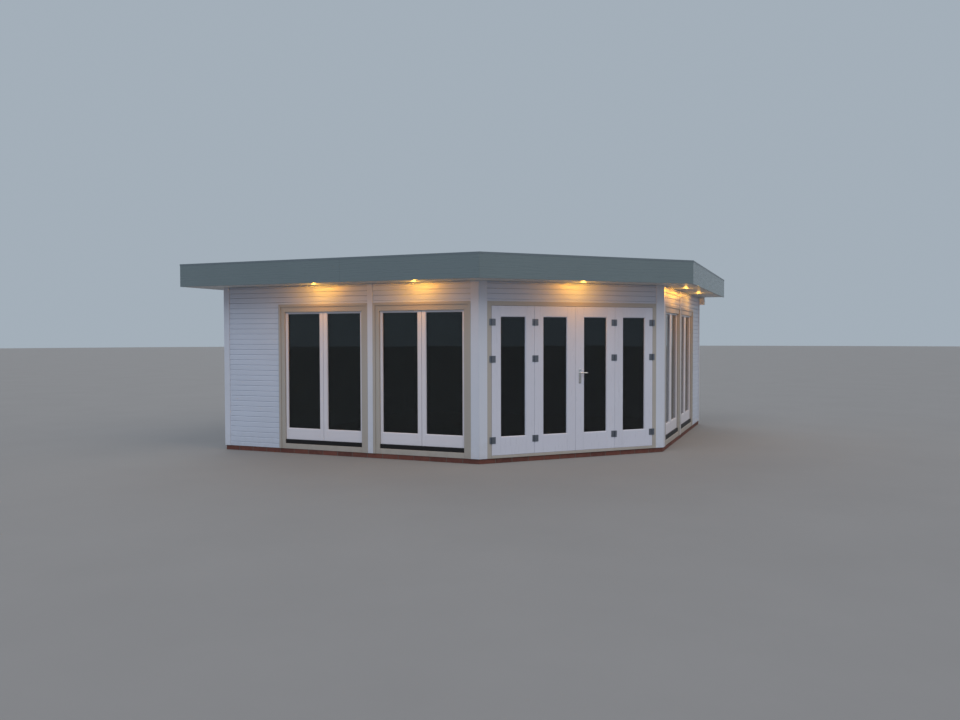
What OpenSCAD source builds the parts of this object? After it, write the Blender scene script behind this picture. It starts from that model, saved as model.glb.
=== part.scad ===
// Garden office pod: a square timber room with one corner cut off for a
// four-leaf folding door, tall paired windows on both sides of it and a
// flat roof with a deep fascia. Units are millimetres, +Z is up and the
// ground is at z = 0.

/* [Plan] */
// Length of the front wall and of the right-hand wall, corner to corner
wall_run = 3724; // [3500:1:4200]
// Length that the cut corner takes off each of the two sides
corner_cut = 1873; // [1800:1:2200]
// Whole wall thickness, cladding included
wall_t = 140; // [110:1:200]
// Thickness of the horizontal cladding
cladding_t = 20; // [15:1:25]

/* [Heights] */
// Height of the brick course under the walls
plinth_h = 60; // [40:1:150]
// Height from the brick course up to the soffit
eaves_h = 2140; // [2050:1:2400]
// Height from the brick course to the top of the window and door frames
opening_h = 1897; // [1850:1:1980]

/* [Base] */
// Width of the brick course
brick_w = 102; // [90:1:115]
// How far the bricks stand back behind the cladding
brick_set_back = 5; // [0:1:10]
// Thickness of the boarded floor above the brick course
floor_board_t = 15; // [10:1:25]

/* [White boards] */
// Face width of the corner boards beside the windows
corner_board_w = 104; // [80:1:140]
// Face width of the corner boards at the plain corners
plain_board_w = 80; // [60:1:120]
// How far corner boards and cover strips stand proud of the cladding
board_proud = 8; // [4:1:12]

/* [Windows] */
// Overall width of one window
window_w = 1334; // [1200:1:1350]
// Width of the post and cover strip between two windows
window_post_w = 76; // [60:1:120]
// Face width of a window jamb
jamb_face = 92; // [70:1:100]
// Face height of the window head
head_face = 103; // [90:1:120]
// How far the window frame stands proud of the cladding
frame_proud = 0; // [0:1:25]
// Width of the raised outer edge of the window frame
edge_w = 34; // [20:1:45]
// How far the raised edge stands proud of the frame's face
edge_proud = 10; // [5:1:15]
// Depth of the window frame behind the cladding's face
frame_depth = 110; // [90:1:130]
// Height of the sill
sill_h = 67; // [60:1:100]
// Fall of the sill's sloped front edge
sill_fall = 3; // [3:1:12]
// Height of the black weather bar between sill and sash
weather_bar_h = 55; // [30:1:60]
// How far the weather bar stands behind the cladding's face
weather_bar_set_back = 6; // [0:1:12]
// Distance from the cladding's face back to the sash
sash_set_back = 24; // [10:1:30]
// Thickness of a sash
sash_t = 56; // [40:1:60]
// Face width of a sash stile
sash_stile = 58; // [50:1:75]
// Face height of a sash's top rail
sash_top_rail = 50; // [42:1:65]
// Face height of a sash's bottom rail
sash_bottom_rail = 149; // [120:1:200]
// How far the frame laps over the sash
sash_lap = 26; // [8:1:30]
// Gap between the two sashes of a window
sash_gap = 4; // [2:1:6]

/* [Folding door] */
// Width of one door leaf
leaf_w = 575; // [540:1:590]
// Thickness of a door leaf
leaf_t = 54; // [44:1:60]
// Gap around and between the leaves
leaf_gap = 2; // [1:0.5:4]
// Face width of a door jamb
door_jamb_face = 56; // [40:1:60]
// Face height of the door head
door_head_face = 52; // [45:1:80]
// How far door frame and leaves stand proud of the cladding
door_proud = 8; // [6:1:20]
// How far the door set stands left of the middle of its wall
door_off_middle = 8; // [0:1:15]
// Depth of the door frame behind the cladding's face
door_frame_depth = 100; // [80:1:120]
// Width of the stop that the leaves close against
door_stop = 15; // [10:1:20]
// Height of the threshold
threshold_h = 34; // [25:1:50]
// Width of a leaf's stiles
leaf_stile = 125; // [110:1:150]
// Height of a leaf's top rail
leaf_top_rail = 135; // [110:1:170]
// Height of a leaf's bottom rail
leaf_bottom_rail = 224; // [180:1:300]
// Width of the tongue where the two middle leaves meet
meeting_tongue = 12; // [8:1:16]

/* [Glass] */
// Thickness of a sealed glass unit
glass_t = 24; // [20:1:28]
// Depth from a sash's face back to its glass
sash_glass_set_back = 22; // [10:1:26]
// Depth from a leaf's face back to its glass
leaf_glass_set_back = 20; // [14:1:26]
// How far the glass reaches under the timber on each side
glass_lap = 12; // [8:1:16]
// Room left around the edge of the glass
glass_room = 2; // [1:0.5:4]
// Width of the splayed edge around a pane
splay = 9; // [5:1:12]

/* [Hinges] */
// Height of a hinge
hinge_h = 82; // [70:1:100]
// Width of a hinge's narrow flap, from the pin
hinge_narrow = 30; // [22:1:40]
// Width of a hinge's wide flap, from the pin
hinge_wide = 52; // [40:1:60]
// Thickness of the flaps
hinge_t = 3; // [2:0.5:4]
// Radius of the knuckles
knuckle_r = 6; // [4.5:0.5:8]
// Height of the lowest hinges above the threshold's foot
hinge_low = 218; // [180:1:300]
// Height of the middle hinges
hinge_mid = 1199; // [900:1:1300]
// Height of the highest hinges
hinge_high = 1645; // [1500:1:1720]

/* [Handle] */
// Height of the lever above the brick course
lever_h = 1012; // [900:1:1100]
// Length of the lever
lever_run = 94; // [85:1:140]
// Radius of the lever's bar
lever_r = 8; // [6:0.5:10]
// Distance from the door's face to the middle of the lever
lever_stand_off = 36; // [35:1:60]
// Width of the handle's backplate
backplate_w = 36; // [34:1:55]
// Height of the handle's backplate
backplate_h = 183; // [180:1:240]
// Thickness of the backplate
backplate_t = 4; // [3:1:8]
// Distance from the lever up to the top of the backplate
plate_above_lever = 50; // [30:1:60]
// Distance from the lever down to the key cylinder
key_below_lever = 100; // [72:1:120]
// Radius of the key cylinder
key_r = 8.5; // [7:0.5:11]

/* [Roof] */
// Overhang of the roof in front and at both sides, to the fascia's face
overhang = 400; // [300:1:500]
// How far the side fascias run on behind the back wall
rear_run = 158; // [125:1:220]
// Height from the soffit to the top of the roof's edge trim
roof_edge_h = 300; // [260:1:380]
// Thickness of the fascia boards
fascia_t = 22; // [16:1:28]
// Thickness of soffit and ceiling boards
soffit_t = 18; // [9:1:22]
// Thickness of the rim joists that carry the fascias
rim_t = 50; // [38:1:75]
// Thickness of the roof deck at its front edge
deck_t = 185; // [150:1:200]
// Fall of the roof from front to back
roof_fall = 75; // [30:1:100]
// Thickness of the rubber roof sheet
sheet_t = 3; // [2:1:5]
// Thickness of the metal edge trim
trim_t = 3; // [2:1:4]
// Height of the edge trim's face
trim_face = 22; // [15:1:40]
// Width that the edge trim covers on top
trim_cover = 43; // [30:1:60]
// How far the roof sheet drips past the rear fascia
sheet_drip = 8; // [5:1:15]

/* [Soffit lights] */
// Radius of a light's hole in the soffit
light_r = 35; // [28:1:45]
// Radius of a light's rim
light_rim_r = 44; // [40:1:60]
// Thickness of a light's rim below the soffit
light_rim_t = 4; // [2:1:6]
// Radius of a light's lens
light_lens_r = 27; // [20:1:33]

/* [Gutter] */
// Height of the gutter
gutter_h = 125; // [80:1:140]
// Width of the gutter
gutter_w = 110; // [90:1:120]
// Wall thickness of gutter and downpipe
gutter_t = 3; // [2:1:4]
// How far the gutter runs past each side wall
gutter_past = 85; // [60:1:150]
// Width of the square downpipe
downpipe_w = 65; // [50:1:80]
// Distance from the right-hand corner to the middle of the downpipe
downpipe_in = 250; // [100:1:600]
// Height of the downpipe's open foot above the ground
downpipe_foot = 90; // [70:1:150]

/* [Hidden] */
$fn = 48;
// Hairline left between solids that share a node
joint = 0.3;
// Overshoot of a cut
over = 1;

full_run = wall_run + corner_cut;
door_run = corner_cut * sqrt(2);
half_turn = tan(22.5);

wall_base = plinth_h;
head_z = plinth_h + opening_h;
soffit_z = plinth_h + eaves_h;
roof_z = soffit_z + soffit_t;
edge_z = soffit_z + roof_edge_h;
kerb_z = edge_z - trim_t - sheet_t;

window_pitch = window_w + window_post_w;
sill_z = plinth_h + sill_h;
sash_z = sill_z + weather_bar_h;
sash_top = head_z - head_face + sash_lap;
sash_w = (window_w - 2 * jamb_face + 2 * sash_lap - sash_gap) / 2;

leaf_pitch = leaf_w + leaf_gap;
door_w = 4 * leaf_pitch + leaf_gap + 2 * door_jamb_face;
door_left = (door_run - door_w) / 2 - door_off_middle;
door_right = door_left + door_w;
leaf_z = plinth_h + threshold_h + leaf_gap;
leaf_top = head_z - door_head_face - leaf_gap;
first_leaf = door_left + door_jamb_face + leaf_gap;

FRONT = 0;
DOOR = 1;
RIGHT = 2;
BACK = 3;
LEFT = 4;
SIDE_TURN = [0, 45, 90, 180, 270];
SIDE_RUN = [wall_run, door_run, wall_run, full_run, full_run];
ROOF_SIDES = [FRONT, DOOR, RIGHT, LEFT];

mid_x = (corner_cut - wall_run) / 2;
mid_y = (full_run + rear_run - joint / 2 - overhang - trim_t) / 2;

// Corners of the plan moved outwards by out, and by rear at the back:
// front left, front end of the cut, right end of the cut, rear right, rear left
function outline(out, rear) = [
    [-wall_run - out, -out],
    [out * half_turn, -out],
    [corner_cut + out, corner_cut - out * half_turn],
    [corner_cut + out, full_run + rear],
    [-wall_run - out, full_run + rear]
];

function along(side) = [cos(SIDE_TURN[side]), sin(SIDE_TURN[side])];
function inwards(side) = [-sin(SIDE_TURN[side]), cos(SIDE_TURN[side])];

// A plan point s along a side from its first corner and d behind the cladding's face
function wall_point(side, s, d) = outline(0, 0)[side] + s * along(side) + d * inwards(side);

// Left edge of a window seen from outside; window 0 is the one next to the door wall
function window_at(side, k) = side == FRONT
    ? wall_run - corner_board_w - window_w - k * window_pitch
    : corner_board_w + k * window_pitch;

// Left edge of the post between the two windows of a side
function post_at(side) = min(window_at(side, 0), window_at(side, 1)) + window_w;

function fall_z(y) = roof_z + deck_t - roof_fall * (y + overhang) / (full_run + overhang);

// Puts the part's origin under the middle of its bounding box
module centred() {
    translate([-mid_x, -mid_y, 0]) children();
}

// Children stand on a side: X runs along the wall, Y into the building
module on_side(side) {
    start = outline(0, 0)[side];
    centred() translate([start[0], start[1], 0]) rotate(SIDE_TURN[side]) children();
}

module block(s0, s1, d0, d1, z0, z1) {
    translate([s0, d0, z0]) cube([s1 - s0, d1 - d0, z1 - z0]);
}

module prism(points, z0, z1) {
    translate([0, 0, z0]) linear_extrude(z1 - z0) polygon(points);
}

// A face drawn in X and Z, made solid from depth d0 back to d1
module panel(points, d0, d1) {
    translate([0, d1, 0]) rotate([90, 0, 0]) linear_extrude(d1 - d0) polygon(points);
}

// Mitred length between two outlines along one side
module edge_length(outer, inner, side, z0, z1) {
    next = (side + 1) % 5;
    nick = along(side) * joint / 2;
    prism([outer[side] + nick, outer[next] - nick, inner[next] - nick, inner[side] + nick], z0, z1);
}

// Everything below the roof's fall, raised by lift
module under_fall(lift) {
    reach = full_run + 2 * overhang;
    span = full_run + 3 * overhang;
    translate([-wall_run - 1.5 * overhang, 0, 0]) rotate([90, 0, 90]) linear_extrude(span)
        polygon([[-2 * overhang, 0], [reach, 0],
                 [reach, fall_z(reach) + lift], [-2 * overhang, fall_z(-2 * overhang) + lift]]);
}

module plinth() {
    color("#6b3a30") centred() for (side = [FRONT:LEFT])
        edge_length(outline(-brick_set_back, -brick_set_back),
                    outline(-brick_set_back - brick_w, -brick_set_back - brick_w), side, 0, plinth_h);
}

module floor() {
    inset = brick_set_back + brick_w;
    color("#8a6f52") centred() {
        prism(outline(-inset, -inset), 0, plinth_h);
        prism(outline(-wall_t, -wall_t), plinth_h, plinth_h + floor_board_t);
    }
}

// Framed panel, post between the windows and header of one window wall
module window_wall(side) {
    ends_left = side == FRONT;
    first = min(window_at(side, 0), window_at(side, 1));
    last = post_at(side) + window_post_w + window_w;
    panel_s0 = ends_left ? wall_t : last;
    panel_s1 = ends_left ? first : wall_run - cladding_t;
    color("#d9d6cf") on_side(side) {
        block(panel_s0, panel_s1, cladding_t, wall_t, wall_base, roof_z);
        block(post_at(side), post_at(side) + window_post_w, cladding_t, wall_t, wall_base, head_z - joint);
        block(first + (ends_left ? joint : 0), last - (ends_left ? 0 : joint),
              cladding_t, wall_t, head_z, roof_z);
    }
}

module front_wall() {
    window_wall(FRONT);
}

module right_wall() {
    window_wall(RIGHT);
}

module door_wall() {
    color("#d9d6cf") on_side(DOOR)
        block(door_left, door_right, cladding_t, wall_t, head_z, roof_z);
}

module back_wall() {
    color("#d9d6cf") on_side(BACK)
        block(wall_t, full_run - wall_t, cladding_t, wall_t, wall_base, roof_z);
}

module left_wall() {
    color("#d9d6cf") on_side(LEFT)
        block(cladding_t, full_run - cladding_t, cladding_t, wall_t, wall_base, roof_z);
}

// Posts behind the two blunt corners, from the last window to the door frame
module corner_posts() {
    outer = outline(-cladding_t, -cladding_t);
    inner = outline(-wall_t, -wall_t);
    window_end = wall_run - corner_board_w;
    color("#d9d6cf") centred() {
        prism([wall_point(FRONT, window_end, cladding_t), outer[DOOR],
               wall_point(DOOR, door_left, cladding_t), wall_point(DOOR, door_left, wall_t),
               inner[DOOR], wall_point(FRONT, window_end, wall_t)], wall_base, roof_z);
        prism([wall_point(DOOR, door_right, cladding_t), outer[RIGHT],
               wall_point(RIGHT, corner_board_w, cladding_t), wall_point(RIGHT, corner_board_w, wall_t),
               inner[RIGHT], wall_point(DOOR, door_right, wall_t)], wall_base, roof_z);
    }
}

// Boarded face of a window wall: plain panel and the header's two lengths
module window_wall_cladding(side) {
    ends_left = side == FRONT;
    first = min(window_at(side, 0), window_at(side, 1));
    last = post_at(side) + window_post_w + window_w;
    color("#e9ebee") on_side(side) {
        block(ends_left ? plain_board_w : last, ends_left ? first : wall_run - plain_board_w,
              0, cladding_t, wall_base, soffit_z);
        block(first + (ends_left ? joint : 0), post_at(side), 0, cladding_t, head_z, soffit_z);
        block(post_at(side) + window_post_w, last - (ends_left ? 0 : joint),
              0, cladding_t, head_z, soffit_z);
    }
}

module front_cladding() {
    window_wall_cladding(FRONT);
}

module right_cladding() {
    window_wall_cladding(RIGHT);
}

module door_cladding() {
    color("#e9ebee") on_side(DOOR)
        block(door_left, door_right, 0, cladding_t, head_z, soffit_z);
}

// Boarded face of a wall without openings
module plain_cladding(side) {
    color("#e9ebee") on_side(side)
        block(plain_board_w, full_run - plain_board_w, 0, cladding_t, wall_base, soffit_z);
}

module back_cladding() {
    plain_cladding(BACK);
}

module left_cladding() {
    plain_cladding(LEFT);
}

// Face width of the corner board at the start or the end of a side
function board_width(side, at_end) =
    side == DOOR ? (at_end ? door_run - door_right : door_left)
    : side == FRONT && at_end ? corner_board_w
    : side == RIGHT && !at_end ? corner_board_w
    : plain_board_w;

// Two boards meet in a mitre at each corner
module corner_boards() {
    outer = outline(board_proud, board_proud);
    inner = outline(-cladding_t, -cladding_t);
    color("#f1f2f4") centred() for (side = [FRONT:LEFT]) {
        next = (side + 1) % 5;
        nick = along(side) * joint / 2;
        start = board_width(side, false);
        end = SIDE_RUN[side] - board_width(side, true);
        prism([outer[side] + nick, wall_point(side, start, -board_proud),
               wall_point(side, start, cladding_t), inner[side] + nick], wall_base, soffit_z);
        prism([wall_point(side, end, -board_proud), outer[next] - nick,
               inner[next] - nick, wall_point(side, end, cladding_t)], wall_base, soffit_z);
    }
}

// White strips over the posts between the windows
module cover_strips() {
    color("#f1f2f4") for (side = [FRONT, RIGHT]) on_side(side)
        block(post_at(side), post_at(side) + window_post_w, -board_proud, cladding_t, wall_base, soffit_z);
}

// Frame with both sides and a top; each layer is [front depth, back depth, jamb face, head face]
module frame_layers(w, layers) {
    for (layer = layers) difference() {
        block(0, w, layer[0], layer[1], wall_base, head_z);
        block(layer[2], w - layer[2], layer[0] - over, layer[1] + over, wall_base - over, head_z - layer[3]);
    }
}

// Two jambs and a head, mitred where they meet
module three_sided_frame(w, layers) {
    nick = joint / 2;
    half = w / 2;
    for (flip = [0, 1]) translate([flip * w, 0, 0]) mirror([flip, 0, 0]) intersection() {
        frame_layers(w, layers);
        panel([[-over, 0], [half, 0], [half, head_z - half - nick], [-over, head_z + over - nick]],
              -wall_t, wall_t);
    }
    intersection() {
        frame_layers(w, layers);
        panel([[half, head_z - half + nick], [w + over - nick, head_z + over],
               [nick - over, head_z + over]], -wall_t, wall_t);
    }
}

// Window frame: raised outer edge, face, and the part behind that the sashes sit in
module window_frame() {
    color("#a39c8d") {
        three_sided_frame(window_w, [
            [-frame_proud - edge_proud, -frame_proud, edge_w, edge_w],
            [-frame_proud, sash_set_back, jamb_face, head_face],
            [sash_set_back, frame_depth, jamb_face - sash_lap, head_face - sash_lap]
        ]);
        window_sill();
    }
}

// Sill between the jambs, with a sloped front edge
module window_sill() {
    front = jamb_face + joint;
    back = jamb_face - sash_lap + joint;
    union() {
        translate([front, 0, 0]) rotate([90, 0, 90]) linear_extrude(window_w - 2 * front)
            polygon([[-frame_proud, wall_base], [frame_depth, wall_base], [frame_depth, sill_z],
                     [weather_bar_set_back, sill_z], [-frame_proud, sill_z - sill_fall]]);
        block(back, window_w - back, sash_set_back + joint, frame_depth, wall_base, sill_z);
    }
}

// A frustum that cuts the splayed edge around a pane
module splay_cut(s0, s1, z0, z1, d) {
    hull() {
        block(s0 - splay, s1 + splay, d - over, d, z0 - splay, z1 + splay);
        block(s0, s1, d, d + splay, z0, z1);
    }
}

// Stiles and rails around one pane, with the rebate that the glass sits in
module glazed_leaf(w, z0, z1, d, t, stile, bottom_rail, top_rail, glass_depth) {
    s0 = stile;
    s1 = w - stile;
    pane_z0 = z0 + bottom_rail;
    pane_z1 = z1 - top_rail;
    difference() {
        block(0, w, d, d + t, z0, z1);
        block(s0, s1, d - over, d + t + over, pane_z0, pane_z1);
        splay_cut(s0, s1, pane_z0, pane_z1, d);
        block(s0 - glass_lap, s1 + glass_lap, d + glass_depth, d + t + over,
              pane_z0 - glass_lap, pane_z1 + glass_lap);
    }
}

// The glass unit that fits the rebate of glazed_leaf
module pane(w, z0, z1, d, stile, bottom_rail, top_rail, glass_depth) {
    reach = glass_lap - glass_room;
    block(stile - reach, w - stile + reach, d + glass_depth, d + glass_depth + glass_t,
          z0 + bottom_rail - reach, z1 - top_rail + reach);
}

// Left edge of a sash inside its window
function sash_at(k) = jamb_face - sash_lap + k * (sash_w + sash_gap);

module window_sashes() {
    color("#f1f2f4") for (k = [0, 1]) translate([sash_at(k), 0, 0])
        glazed_leaf(sash_w, sash_z, sash_top, sash_set_back, sash_t,
                    sash_stile, sash_bottom_rail, sash_top_rail, sash_glass_set_back);
}

module window_panes() {
    for (k = [0, 1]) translate([sash_at(k), 0, 0])
        pane(sash_w, sash_z, sash_top, sash_set_back,
             sash_stile, sash_bottom_rail, sash_top_rail, sash_glass_set_back);
}

// Windows are numbered from left to right as seen from outside
WINDOWS = [[FRONT, 1], [FRONT, 0], [RIGHT, 0], [RIGHT, 1]];

module in_window(number) {
    place = WINDOWS[number - 1];
    on_side(place[0]) translate([window_at(place[0], place[1]), 0, 0]) children();
}

// Bar between the jambs, with the wider part behind their faces that the sashes stand on
module weather_bar() {
    back = jamb_face - sash_lap + joint;
    bar_back = sash_set_back + sash_t;
    union() {
        block(jamb_face, window_w - jamb_face, weather_bar_set_back, bar_back, sill_z, sash_z);
        block(back, window_w - back, sash_set_back + joint, bar_back, sill_z, sash_z);
    }
}

module weather_bars() {
    color("#161616") for (number = [1:4]) in_window(number) weather_bar();
}

module window_glass() {
    color("#2b3338", 0.6) for (number = [1:4]) in_window(number) window_panes();
}

module in_door() {
    on_side(DOOR) translate([door_left, 0, 0]) children();
}

module door_frame() {
    leaf_back = leaf_t - door_proud;
    color("#a39c8d") in_door() three_sided_frame(door_w, [
        [-door_proud, leaf_back, door_jamb_face, door_head_face],
        [leaf_back, door_frame_depth, door_jamb_face + door_stop, door_head_face + door_stop]
    ]);
}

module door_threshold() {
    top = plinth_h + threshold_h;
    leaf_back = leaf_t - door_proud;
    inner = door_jamb_face + door_stop;
    color("#a39c8d") in_door() union() {
        block(door_jamb_face, door_w - door_jamb_face, -door_proud, leaf_back, wall_base, top);
        block(inner, door_w - inner, leaf_back, door_frame_depth, wall_base, top + leaf_gap + door_stop);
    }
}

// Leaf 1 hangs on the left jamb, leaf 2 on leaf 1; leaves 4 and 3 mirror them
module door_leaf(number) {
    tongue_d = (leaf_t - 2 * door_proud) / 2;
    color("#f1f2f4") on_side(DOOR) translate([first_leaf + (number - 1) * leaf_pitch, 0, 0]) {
        difference() {
            glazed_leaf(leaf_w, leaf_z, leaf_top, -door_proud, leaf_t,
                        leaf_stile, leaf_bottom_rail, leaf_top_rail, leaf_glass_set_back);
            if (number == 2)
                block(leaf_w - meeting_tongue, leaf_w + over, tongue_d, leaf_t,
                      leaf_z - over, leaf_top + over);
        }
        if (number == 3)
            block(-meeting_tongue, 0, tongue_d + leaf_gap, leaf_t - door_proud, leaf_z, leaf_top);
    }
}

module door_leaf_1() {
    door_leaf(1);
}

module door_leaf_2() {
    door_leaf(2);
}

module door_leaf_3() {
    door_leaf(3);
}

module door_leaf_4() {
    door_leaf(4);
}

module door_glass() {
    color("#2b3338", 0.6) on_side(DOOR) for (k = [0:3]) translate([first_leaf + k * leaf_pitch, 0, 0])
        pane(leaf_w, leaf_z, leaf_top, -door_proud,
             leaf_stile, leaf_bottom_rail, leaf_top_rail, leaf_glass_set_back);
}

// Square hinge on the face: two flaps and a pin with three knuckles
module hinge(left_flap, right_flap) {
    knuckle_h = hinge_h / 3;
    slit = knuckle_h / 30;
    pin_d = -door_proud - knuckle_r - joint;
    block(-left_flap, -slit, -door_proud - hinge_t, -door_proud, -hinge_h / 2, hinge_h / 2);
    block(slit, right_flap, -door_proud - hinge_t, -door_proud, -hinge_h / 2, hinge_h / 2);
    translate([0, pin_d, -hinge_h / 2]) {
        cylinder(h = hinge_h, r = knuckle_r - slit);
        for (k = [0:2]) translate([0, 0, k * knuckle_h + slit / 2])
            cylinder(h = knuckle_h - slit, r = knuckle_r);
    }
}

// Middle of the gap beside a leaf: gap 0 is at the left jamb, gap 4 at the right
function gap_at(k) = first_leaf - leaf_gap / 2 + k * leaf_pitch;

module door_hinges() {
    color("#7d8086") on_side(DOOR) for (k = [0, 1, 3, 4], h = [hinge_low, hinge_mid, hinge_high])
        translate([gap_at(k), 0, plinth_h + h])
            hinge(k > 2 ? hinge_wide : hinge_narrow, k > 2 ? hinge_narrow : hinge_wide);
}

// Backplate, neck, lever and key cylinder of one face, drawn outwards from d = 0
module lever_set() {
    block(-backplate_w / 2, backplate_w / 2, -backplate_t, 0,
          plate_above_lever - backplate_h, plate_above_lever);
    rotate([90, 0, 0]) cylinder(h = backplate_t + lever_r / 2, r = backplate_w / 2 - lever_r / 2);
    rotate([90, 0, 0]) cylinder(h = lever_stand_off, r = lever_r);
    translate([0, -lever_stand_off, 0]) {
        sphere(r = lever_r);
        rotate([0, 90, 0]) cylinder(h = lever_run, r = lever_r);
        translate([lever_run, 0, 0]) sphere(r = lever_r);
    }
    translate([0, 0, -key_below_lever]) rotate([90, 0, 0]) cylinder(h = backplate_t + 2, r = key_r);
}

module door_handle() {
    spindle = first_leaf + 2 * leaf_pitch + leaf_stile / 2;
    color("#9a9da2") on_side(DOOR) translate([spindle, 0, plinth_h + lever_h]) {
        translate([0, -door_proud, 0]) lever_set();
        translate([0, leaf_t - door_proud, 0]) mirror([0, 1, 0]) lever_set();
    }
}

module ceiling() {
    color("#e4e2dc") centred() prism(outline(-wall_t, -wall_t), soffit_z, roof_z);
}

// Places of the soffit lights: over each window and over the middle of the door
LIGHTS = [
    [FRONT, window_at(FRONT, 1) + window_w / 2],
    [FRONT, window_at(FRONT, 0) + window_w / 2],
    [DOOR, door_run / 2],
    [RIGHT, window_at(RIGHT, 0) + window_w / 2],
    [RIGHT, window_at(RIGHT, 1) + window_w / 2]
];

module at_light(light) {
    on_side(light[0]) translate([light[1], -overhang / 2, soffit_z]) children();
}

module soffit() {
    color("#dcd8d0") difference() {
        centred() for (side = ROOF_SIDES)
            edge_length(outline(overhang - fascia_t, 0), outline(-cladding_t, 0), side, soffit_z, roof_z);
        for (light = LIGHTS) at_light(light)
            translate([0, 0, -over]) cylinder(h = soffit_t + 2 * over, r = light_r);
    }
}

// Rim with a bevelled edge, and a collar in the soffit's hole
module light_rims() {
    color("#f4f4f2") for (light = LIGHTS) at_light(light) rotate_extrude()
        polygon([[light_lens_r, soffit_t - 2], [light_lens_r, -light_rim_t / 2],
                 [light_lens_r + light_rim_t / 2, -light_rim_t], [light_rim_r - light_rim_t, -light_rim_t],
                 [light_rim_r, -light_rim_t / 4], [light_rim_r, 0],
                 [light_r - joint, 0], [light_r - joint, soffit_t - 2]]);
}

module light_lenses() {
    color("#ffd98a") for (light = LIGHTS) at_light(light)
        translate([0, 0, soffit_t / 3]) cylinder(h = soffit_t / 3, r = light_lens_r - joint);
}

// Rim joists around the deck stand up above it as a kerb
module rim_joists() {
    face = overhang - fascia_t;
    color("#b59a72") centred() for (side = ROOF_SIDES)
        edge_length(outline(face, 0), outline(face - rim_t, 0), side, roof_z, kerb_z);
}

module roof_deck() {
    color("#b59a72") centred() intersection() {
        prism(outline(overhang - fascia_t - rim_t, 0), roof_z, edge_z);
        under_fall(0);
    }
}

// Rubber sheet over the deck, up the kerb and over it to the edge trim
module roof_sheet() {
    inside = overhang - fascia_t - rim_t;
    rear_edge = fascia_t + sheet_drip;
    color("#33363a") centred() difference() {
        union() {
            prism(outline(inside, 0), roof_z, edge_z - trim_t);
            prism(outline(overhang, 0), kerb_z, edge_z - trim_t);
            prism(outline(inside, rear_edge), roof_z, kerb_z);
        }
        under_fall(0);
        difference() {
            prism(outline(inside - sheet_t, rear_edge + over), roof_z, edge_z);
            under_fall(sheet_t);
        }
    }
}

// The two side boards run on behind the back wall; the rear board stands between them
module fascia() {
    face = outline(overhang, rear_run);
    back = outline(overhang - fascia_t, rear_run);
    rear_top = fall_z(full_run + fascia_t);
    color("#6d7a80") centred() {
        for (side = ROOF_SIDES) edge_length(face, back, side, soffit_z, kerb_z);
        translate([-wall_run - overhang + fascia_t + joint, full_run, soffit_z])
            cube([full_run + 2 * (overhang - fascia_t - joint), fascia_t, rear_top - soffit_z]);
    }
}

// Metal angle over the top edge of the fascia
module edge_trim() {
    outer = outline(overhang + trim_t, rear_run);
    color("#8c979b") centred() for (side = ROOF_SIDES) union() {
        edge_length(outer, outline(overhang, rear_run), side, edge_z - trim_face, edge_z);
        edge_length(outer, outline(overhang + trim_t - trim_cover, rear_run), side,
                    edge_z - trim_t, edge_z);
    }
}

// Square gutter with closed ends, on the rear corner boards under the roof sheet's drip
module gutter() {
    run = full_run + 2 * gutter_past;
    color("#e6eaee") on_side(BACK)
        translate([-gutter_past, -gutter_w - board_proud, soffit_z - gutter_h])
        difference() {
            cube([run, gutter_w, gutter_h]);
            translate([gutter_t, gutter_t, gutter_t])
                cube([run - 2 * gutter_t, gutter_w - 2 * gutter_t, gutter_h]);
        }
}

module downpipe() {
    top = soffit_z - gutter_h;
    color("#e6eaee") on_side(BACK) translate([downpipe_in - downpipe_w / 2, -downpipe_w, downpipe_foot])
        difference() {
            cube([downpipe_w, downpipe_w, top - downpipe_foot]);
            translate([gutter_t, gutter_t, -over])
                cube([downpipe_w - 2 * gutter_t, downpipe_w - 2 * gutter_t, top - downpipe_foot - gutter_t]);
        }
}

plinth();
floor();
front_wall();
door_wall();
right_wall();
back_wall();
left_wall();
corner_posts();
front_cladding();
door_cladding();
right_cladding();
back_cladding();
left_cladding();
corner_boards();
cover_strips();
in_window(1) window_frame();  // window_frame_1
in_window(2) window_frame();  // window_frame_2
in_window(3) window_frame();  // window_frame_3
in_window(4) window_frame();  // window_frame_4
in_window(1) window_sashes();  // window_sashes_1
in_window(2) window_sashes();  // window_sashes_2
in_window(3) window_sashes();  // window_sashes_3
in_window(4) window_sashes();  // window_sashes_4
weather_bars();
window_glass();
door_frame();
door_threshold();
door_leaf_1();
door_leaf_2();
door_leaf_3();
door_leaf_4();
door_glass();
door_hinges();
door_handle();
ceiling();
soffit();
rim_joists();
roof_deck();
roof_sheet();
fascia();
edge_trim();
light_rims();
light_lenses();
gutter();
downpipe();
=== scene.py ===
import random
from math import cos, pi, radians, sin, sqrt, tan
import bmesh
import bpy
from mathutils import Matrix, Vector


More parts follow.
